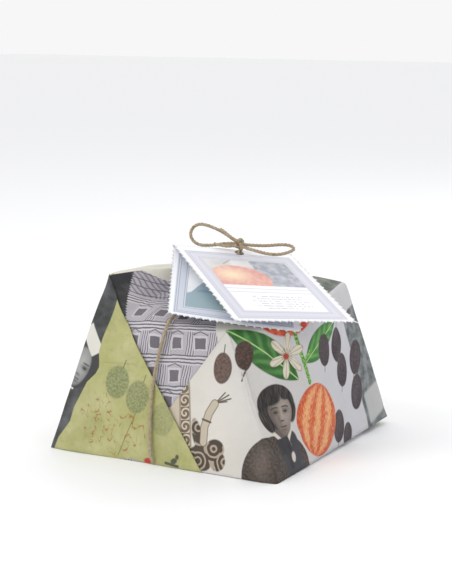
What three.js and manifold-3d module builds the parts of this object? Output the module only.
// A hand-wrapped panettone: a loaf in its paper mould and cellophane bag, folded into one
// sheet of printed paper, tied with jute twine in a bow, with a folded leaflet on the twine.
// Millimetres, +Z up. The origin is the middle of the base, on the surface it stands on.
// The front, with the folded flaps, faces -Y.
import * as THREE from 'three';
import { mergeVertices } from 'three/addons/utils/BufferGeometryUtils.js';
import Module from 'manifold-3d';

const wasm = await Module();
wasm.setup();

// ---- driving dimensions ----
const HALF_BASE = 120;
const FRONT_LEAN = 0.214;
const APEX = [5, 0, 168.5];
const PAPER_WALL = 0.975;
const BASE_LAYERS = 5;
const FLAP_LAYER = 0.75;
const FOLD_GAP = 14;
const TWINE_RADIUS = 1.65;
const TWINE_SIDES = 8;
const GROOVE_WIDTH = 7;
const GROOVE_DEPTH = 4.4;
const TWINE_X = -5;
const CARD_THICKNESS = 0.8;
const CARD_HOLE_RADIUS = 5;
const CASE_RADIUS = 84.5;
const CASE_HEIGHT = 104;
const CASE_FLUTES = 48;
const CASE_WALL = 1.2;
const FLUTE_DEPTH = 1.4;
const BAG_FILM = 0.8;

const object = new THREE.Group();

function finish(color, roughness, extra = {}) {
  return new THREE.MeshStandardMaterial({ color, roughness, metalness: 0, ...extra });
}

function place(name, geometry, material) {
  const mesh = new THREE.Mesh(geometry, material);
  mesh.name = name;
  object.add(mesh);
}

// ---- solids to and from the boolean library ----
function toSolid(geometry) {
  const bare = geometry.clone();
  bare.deleteAttribute('normal');
  bare.deleteAttribute('uv');
  const merged = mergeVertices(bare, 1e-4);
  const vertProperties = new Float32Array(merged.attributes.position.array);
  const triVerts = new Uint32Array(merged.index.array);
  return new wasm.Manifold(new wasm.Mesh({ numProp: 3, vertProperties, triVerts }));
}

function toGeometry(solid) {
  const mesh = solid.getMesh();
  const geometry = new THREE.BufferGeometry();
  const places = new Float32Array(mesh.vertProperties);
  geometry.setAttribute('position', new THREE.BufferAttribute(places, 3));
  geometry.setIndex(Array.from(mesh.triVerts));
  return geometry;
}

// A closed surface from rings of points that run anticlockwise seen from above, lowest first,
// shut by one point below and one point above.
function ringSolid(low, rings, high) {
  const count = rings[0].length;
  const points = [low, ...rings.flat(), high];
  const faces = [];
  const at = (ring, i) => 1 + ring * count + (i % count);
  for (let i = 0; i < count; i += 1) {
    faces.push(0, at(0, i + 1), at(0, i));
    for (let ring = 0; ring + 1 < rings.length; ring += 1) {
      faces.push(at(ring, i), at(ring, i + 1), at(ring + 1, i + 1));
      faces.push(at(ring, i), at(ring + 1, i + 1), at(ring + 1, i));
    }
    faces.push(at(rings.length - 1, i), at(rings.length - 1, i + 1), points.length - 1);
  }
  const geometry = new THREE.BufferGeometry();
  geometry.setAttribute('position', new THREE.Float32BufferAttribute(points.flat(), 3));
  geometry.setIndex(faces);
  return geometry;
}

// ---- wrapping paper ----
// Each fold line of the packet runs from a point on the base outline to a point on the
// shoulder, where the walls turn in over the loaf. They go round from the front left corner.
const frontAt = (x, z) => [x, FRONT_LEAN * z - HALF_BASE, z];
const FOLD_LINES = [
  { base: [-HALF_BASE, -HALF_BASE, 0], shoulder: frontAt(-76, 165) },
  { base: [-85, -HALF_BASE, 0], shoulder: frontAt(-56, 127.5) },
  { base: [10, -HALF_BASE, 0], shoulder: frontAt(0, 126.5) },
  { base: [HALF_BASE, -HALF_BASE, 0], shoulder: frontAt(57, 125) },
  { base: [HALF_BASE, -75, 1], shoulder: [82, -76, 126] },
  { base: [HALF_BASE, -30, 2.5], shoulder: [98, -42, 130] },
  { base: [HALF_BASE, 40, 4.5], shoulder: [103, 10, 140] },
  { base: [HALF_BASE, HALF_BASE, 7], shoulder: [98, 66, 149] },
  { base: [60, HALF_BASE, 4], shoulder: [58, 93, 138] },
  { base: [0, HALF_BASE, 2], shoulder: [0, 95, 134] },
  { base: [-60, HALF_BASE, 3], shoulder: [-58, 93, 138] },
  { base: [-HALF_BASE, HALF_BASE, 5], shoulder: [-88, 78, 150] },
  { base: [-HALF_BASE, 40, 2], shoulder: [-100, 30, 154] },
  { base: [-HALF_BASE, -40, 0], shoulder: [-98, -30, 158] },
];
const STEPS_BETWEEN = 3;
const WALL_STEPS = [0, 0.1, 0.3, 0.55, 0.8, 1];
const CAP_STEPS = [0.12, 0.3, 0.5, 0.7, 0.87];
const CAP_BEND = 1.3;
const SOLE = 0.76;

const mix = (a, b, t) => a.map((v, i) => v + (b[i] - v) * t);

function columns() {
  const all = [];
  FOLD_LINES.forEach((line, i) => {
    const next = FOLD_LINES[(i + 1) % FOLD_LINES.length];
    for (let step = 0; step < STEPS_BETWEEN; step += 1) {
      const t = step / STEPS_BETWEEN;
      const base = mix(line.base, next.base, t);
      const shoulder = mix(line.shoulder, next.shoulder, t);
      all.push({ base, shoulder });
    }
  });
  return all;
}

function capPoint(shoulder, t) {
  const flat = mix(shoulder, APEX, t);
  const rise = 1 - (1 - t) ** CAP_BEND;
  return [flat[0], flat[1], shoulder[2] + (APEX[2] - shoulder[2]) * rise];
}

function packetSkin() {
  const all = columns();
  const rings = [all.map(({ base }) => [base[0] * SOLE, base[1] * SOLE, 0])];
  WALL_STEPS.forEach((t) => rings.push(all.map(({ base, shoulder }) => mix(base, shoulder, t))));
  CAP_STEPS.forEach((t) => rings.push(all.map(({ shoulder }) => capPoint(shoulder, t))));
  return rings;
}

// The inside follows the outside, a paper's wall smaller, on a floor of folded layers.
const ROOF = 2;
function inside([x, y, z]) {
  const shrink = (APEX[2] - ROOF - BASE_LAYERS) / APEX[2];
  return [x * PAPER_WALL, y * PAPER_WALL, BASE_LAYERS + z * shrink];
}

// A flap of the folded end, lying on the front: a slab from an outline in the front's plane,
// sunk a little so that it joins the paper behind it.
const FLAP_SUNK = 0.6;
function frontFlap(outline, thickness) {
  const slope = Math.hypot(1, FRONT_LEAN);
  const shape = new THREE.Shape(outline.map(([x, z]) => new THREE.Vector2(x, z * slope)));
  const depth = thickness + FLAP_SUNK;
  const slab = new THREE.ExtrudeGeometry(shape, { depth, bevelEnabled: false });
  slab.translate(0, 0, -FLAP_SUNK);
  const along = new THREE.Vector3(1, 0, 0);
  const up = new THREE.Vector3(0, FRONT_LEAN / slope, 1 / slope);
  const out = new THREE.Vector3().crossVectors(along, up);
  slab.applyMatrix4(new THREE.Matrix4().makeBasis(along, up, out));
  slab.translate(0, -HALF_BASE, 0);
  return toSolid(slab);
}

const LEFT_FLAP = [[-118.5, 1], [45, 1], [-55, 127], [-75.5, 163.5]];
const RIGHT_FLAP = [[-38, 1], [118, 1], [57, 124.5]];

function wrappingPaper() {
  const outer = packetSkin();
  const inner = outer.map((ring) => ring.map(inside));
  let paper = toSolid(ringSolid([0, 0, 0], outer, APEX));
  paper = paper.add(frontFlap(RIGHT_FLAP, FLAP_LAYER));
  paper = paper.add(frontFlap(LEFT_FLAP, FLAP_LAYER * 2));
  paper = paper.subtract(toSolid(ringSolid(inside([0, 0, 0]), inner, inside(APEX))));
  const groove = new THREE.BoxGeometry(GROOVE_WIDTH, 3 * HALF_BASE, 2 * GROOVE_DEPTH);
  groove.translate(TWINE_X, 0, 0);
  paper = paper.subtract(toSolid(groove));
  // The four folded corners leave a small square gap where they meet under the base.
  const gap = new THREE.BoxGeometry(FOLD_GAP, FOLD_GAP, 4 * BASE_LAYERS);
  gap.translate(2 * FOLD_GAP, 0, 0);
  return toGeometry(paper.subtract(toSolid(gap)));
}

place('wrapping_paper', wrappingPaper(), finish(0xd9d6cf, 0.62));

// ---- loaf, paper mould and bag ----
// Each piece stands a small clearance above the one under it.
const CLEARANCE = 0.4;
const FLOOR = BASE_LAYERS + CLEARANCE;
const BAG_BASE = FLOOR + BAG_FILM + CLEARANCE;
const LOAF_BASE = BAG_BASE + CASE_WALL + CLEARANCE;
const ROUND = 48;

// A turned solid from a profile of radius and height, lowest first up the outside.
function lathe(profile) {
  const points = profile.map(([radius, height]) => new THREE.Vector2(radius, height));
  return new THREE.LatheGeometry(points, ROUND).rotateX(Math.PI / 2);
}

// One baked loaf: a straight side from the mould, and a domed crown over its rim.
const LOAF_RADIUS = CASE_RADIUS - FLUTE_DEPTH - CASE_WALL - 4 * CLEARANCE;
const LOAF_SIDE = [
  [0, LOAF_BASE], [LOAF_RADIUS - 3, LOAF_BASE], [LOAF_RADIUS, LOAF_BASE + 4], [LOAF_RADIUS, 108],
];
const LOAF_CROWN = [
  [83, 112], [83, 117], [78.5, 124.5], [69, 131.5], [54, 138.5], [34, 144.5], [15, 147.5],
  [0, 148.5],
];
place('panettone_loaf', lathe([...LOAF_SIDE, ...LOAF_CROWN]), finish(0x9a5a24, 0.7));

// The mould is a fluted paper cup, open at the top.
function flutedRing(radius, z, depth) {
  return Array.from({ length: CASE_FLUTES * 2 }, (_, i) => {
    const angle = (i / (CASE_FLUTES * 2)) * 2 * Math.PI;
    const r = radius - (i % 2) * depth;
    return [r * Math.cos(angle), r * Math.sin(angle), z];
  });
}

function bakingMould() {
  const top = BAG_BASE + CASE_HEIGHT;
  const wall = CASE_RADIUS - CASE_WALL;
  const rings = [
    flutedRing(CASE_RADIUS, BAG_BASE, FLUTE_DEPTH),
    flutedRing(CASE_RADIUS, top, FLUTE_DEPTH),
    flutedRing(wall, top, FLUTE_DEPTH),
    flutedRing(wall, BAG_BASE + CASE_WALL, FLUTE_DEPTH),
  ];
  return ringSolid([0, 0, BAG_BASE], rings, [0, 0, BAG_BASE + CASE_WALL]);
}
place('baking_mould', bakingMould(), finish(0x6b4a2c, 0.8));

// The bag hugs the loaf and is gathered into a narrow neck, left open at its very end.
const BAG_OUTSIDE = [
  [0, FLOOR], [87.5, FLOOR], [87.5, 113], [87, 119], [82, 127], [72, 134.2], [56, 141.6],
  [35, 148], [12, 152.5], [4.2, 155], [3.6, 162],
];
const BAG_INSIDE = [
  [2.6, 162], [3.2, 154.4], [11, 151.6], [34.6, 147.1], [55.6, 140.7], [71.4, 133.3],
  [81.3, 126.2], [86.2, 118.6], [86.7, 113], [86.7, FLOOR + BAG_FILM], [0, FLOOR + BAG_FILM],
];
const FILM = finish(0xe8eef0, 0.2, { transparent: true, opacity: 0.35 });
place('inner_bag', lathe([...BAG_OUTSIDE, ...BAG_INSIDE]), FILM);

// A ring of coated wire closes the neck.
const BAG_TIE_Z = 158.5;
const BAG_TIE_RADIUS = 5.1;
const BAG_TIE_WIRE = 0.9;
const bagTie = new THREE.TorusGeometry(BAG_TIE_RADIUS, BAG_TIE_WIRE, 6, 20);
bagTie.translate(0, 0, BAG_TIE_Z);
place('bag_tie', bagTie, finish(0xc7a24a, 0.4, { metalness: 0.6 }));

// ---- twine ----
// One length of jute twine, drawn as the stretches between its crossings in the knot.
function circleShape(radius, sides) {
  const corners = Array.from({ length: sides }, (_, i) => {
    const angle = ((i + 0.5) / sides) * 2 * Math.PI;
    return new THREE.Vector2(radius * Math.cos(angle), radius * Math.sin(angle));
  });
  return new THREE.Shape(corners);
}

function twine(route, steps) {
  const stations = route.map((p) => new THREE.Vector3(...p));
  const path = new THREE.CatmullRomCurve3(stations, false, 'centripetal');
  const section = circleShape(TWINE_RADIUS, TWINE_SIDES);
  return new THREE.ExtrudeGeometry(section, { steps, bevelEnabled: false, extrudePath: path });
}

const JUTE = finish(0xa98c66, 0.9);
const KNOT = [15.5, 1.5, 187];
const KNOT_RADII = [6.2, 5.4, 7.6];

// From the knot down the front, back under the base in its groove, and up over the back.
const BAND_ROUTE = [
  [15.4, -0.6, 178.5], [15.3, -0.7, 172.6], [14.2, -5.5, 169.6], [10.5, -18, 166.6],
  [7.5, -30, 162], [4, -52, 151.8], [0.5, -76, 139.4], [-2, -88, 132.6], [-3.8, -95.3, 127.4],
  [-6.5, -97.2, 119], [-10, -100.8, 102], [-12.2, -105.4, 84], [-13, -109.2, 70],
  [-12.6, -113.6, 49], [-9.6, -120, 19], [-6.6, -123, 7], [-5.4, -122, 2.8],
  ...[-116, -100, -40, 40, 100, 116].map((y) => [TWINE_X, y, 1.9]),
  [-5, 121.8, 3.2], [-4.6, 121.9, 7.4], [-4, 119, 20], [-1, 109.8, 68], [2, 101, 115],
  [3, 97.7, 134.8], [6, 85, 141.4], [9.5, 62, 151.4], [13, 35, 161.8], [15, 15, 168.2],
  [15.5, 5.4, 169.8], [15.6, 3.7, 173], [15.6, 3.7, 178.5],
];
place('twine_band', twine(BAND_ROUTE, 84), JUTE);

// The knot is drawn tight into one lump, where no strand can be told from the next.
const knot = new THREE.SphereGeometry(1, 16, 10);
knot.scale(...KNOT_RADII);
knot.translate(...KNOT);
place('twine_knot', knot, JUTE);

const LEFT_LOOP = [
  [8.3, 4.4, 190.4], [3, 5.2, 192.9], [-2.3, 5.6, 195.6], [-8, 5.4, 198.2], [-15, 5, 200.6],
  [-22, 4, 202.6], [-29.4, 3, 202.9], [-34.6, 2, 200.2], [-36.6, 0, 195.5], [-35, -2, 190.4],
  [-30.4, -3, 186.3], [-23.6, -3.6, 184.4], [-15, -3.4, 184.6], [-7.7, -2.4, 185.5],
  [-0.8, -0.8, 186.7], [7.4, 1.2, 187.4],
];
place('twine_loop_left', twine(LEFT_LOOP, 40), JUTE);

const RIGHT_LOOP = [
  [22.6, 5, 186.6], [28.8, 7, 186.4], [36.6, 9, 186.4], [44.4, 11, 187], [52.1, 13, 187.9],
  [59, 14.6, 188], [65, 14.6, 186.8], [67.6, 12.4, 184.9], [65.6, 8.6, 182.9], [60.6, 5, 181.2],
  [54, 1.6, 180.3], [46, -0.8, 180.9], [38, -1.6, 182.3], [30.4, -1.4, 183.6], [22.9, 0.2, 184.6],
];
place('twine_loop_right', twine(RIGHT_LOOP, 38), JUTE);

const UPPER_TAIL = [[10.6, -1.6, 192.4], [6, -0.6, 194.6], [1, 0.6, 197.2], [-4.6, 1.2, 200.2]];
place('twine_tail_upper', twine(UPPER_TAIL, 8), JUTE);

const LOWER_TAIL = [[9.4, -3.6, 185.8], [5, -5.4, 185.6], [-0.6, -6.8, 186.4], [-6.6, -7.4, 187.2]];
place('twine_tail_lower', twine(LOWER_TAIL, 8), JUTE);

// ---- leaflet ----
// One sheet of card, folded over a little askew. The lower leaf is bent round the near corner
// of the packet, and the upper leaf stands open over it.
const FOLD = [[-33.3, -40, 188.6], [49, 45, 174.4]];
const LOWER_EDGE = [[-5.3, -96.5, 136.5], [66, -122, 138], [110, -51, 121.5]];
const UPPER_EDGE = [[71.8, -110, 138.8], [113, -69, 134.6], [152, -25, 130.7]];
const FOLD_HALF_GAP = 1.2;
const CARD_ARCH = 6;
const CARD_ACROSS = 12;
const CARD_DOWN = 6;
// The leaves slope, so a rise of this much more than the thickness keeps the card its gauge.
const SLOPE_ALLOWANCE = 1.15;

const bend = (ends) => new THREE.QuadraticBezierCurve3(...ends.map((p) => new THREE.Vector3(...p)));

// The card's middle surface: across runs along the fold, down from the lower edge over the fold.
function cardPoint(across, down) {
  const low = bend(LOWER_EDGE).getPoint(across);
  const high = bend(UPPER_EDGE).getPoint(across);
  const fold = new THREE.Vector3(...mix(FOLD[0], FOLD[1], across));
  const leaf = down < 0 ? low : high;
  const reach = Math.abs(down);
  const side = down < 0 ? -1 : 1;
  const point = fold.clone().lerp(leaf, reach);
  point.z += side * FOLD_HALF_GAP * (1 - reach) - FOLD_HALF_GAP;
  if (down < 0) {
    point.z += CARD_ARCH * across * 4 * reach * (1 - reach);
  }
  return point;
}

// Rows run from the lower edge to the upper edge, with two close together at the fold.
const NEAR_FOLD = 0.004;
function cardRows() {
  const leaf = Array.from({ length: CARD_DOWN }, (_, i) => (i + 1) / CARD_DOWN);
  const lower = leaf.map((reach) => -reach).reverse();
  return [...lower, -NEAR_FOLD, NEAR_FOLD, ...leaf];
}

function leaflet() {
  const rows = cardRows();
  const width = CARD_ACROSS + 1;
  const points = [];
  const faces = [];
  const half = CARD_THICKNESS / 2;
  // The lower leaf's outer face looks down and the upper leaf's outer face looks up.
  [half, -half].forEach((offset) => {
    rows.forEach((down) => {
      for (let i = 0; i < width; i += 1) {
        const across = i / CARD_ACROSS;
        const here = cardPoint(across, down);
        const outward = down < 0 ? -offset : offset;
        points.push(here.x, here.y, here.z + outward * SLOPE_ALLOWANCE);
      }
    });
  });
  const at = (side, row, i) => (side * rows.length + row) * width + i;
  const quad = (a, b, c, d) => faces.push(a, b, c, a, c, d);
  const far = CARD_ACROSS;
  for (let row = 0; row + 1 < rows.length; row += 1) {
    for (let i = 0; i < CARD_ACROSS; i += 1) {
      quad(at(0, row, i), at(0, row + 1, i), at(0, row + 1, i + 1), at(0, row, i + 1));
      quad(at(1, row, i), at(1, row, i + 1), at(1, row + 1, i + 1), at(1, row + 1, i));
    }
    quad(at(0, row, 0), at(1, row, 0), at(1, row + 1, 0), at(0, row + 1, 0));
    quad(at(0, row, far), at(0, row + 1, far), at(1, row + 1, far), at(1, row, far));
  }
  const last = rows.length - 1;
  for (let i = 0; i < CARD_ACROSS; i += 1) {
    quad(at(0, 0, i), at(0, 0, i + 1), at(1, 0, i + 1), at(1, 0, i));
    quad(at(0, last, i), at(1, last, i), at(1, last, i + 1), at(0, last, i + 1));
  }
  const geometry = new THREE.BufferGeometry();
  geometry.setAttribute('position', new THREE.Float32BufferAttribute(points, 3));
  geometry.setIndex(faces);
  const hole = new THREE.CylinderGeometry(CARD_HOLE_RADIUS, CARD_HOLE_RADIUS, 30, 16);
  hole.rotateX(Math.PI / 2);
  hole.translate(...KNOT);
  return toGeometry(toSolid(geometry).subtract(toSolid(hole)));
}
place('leaflet', leaflet(), finish(0xf1f1f4, 0.5));

export default object;
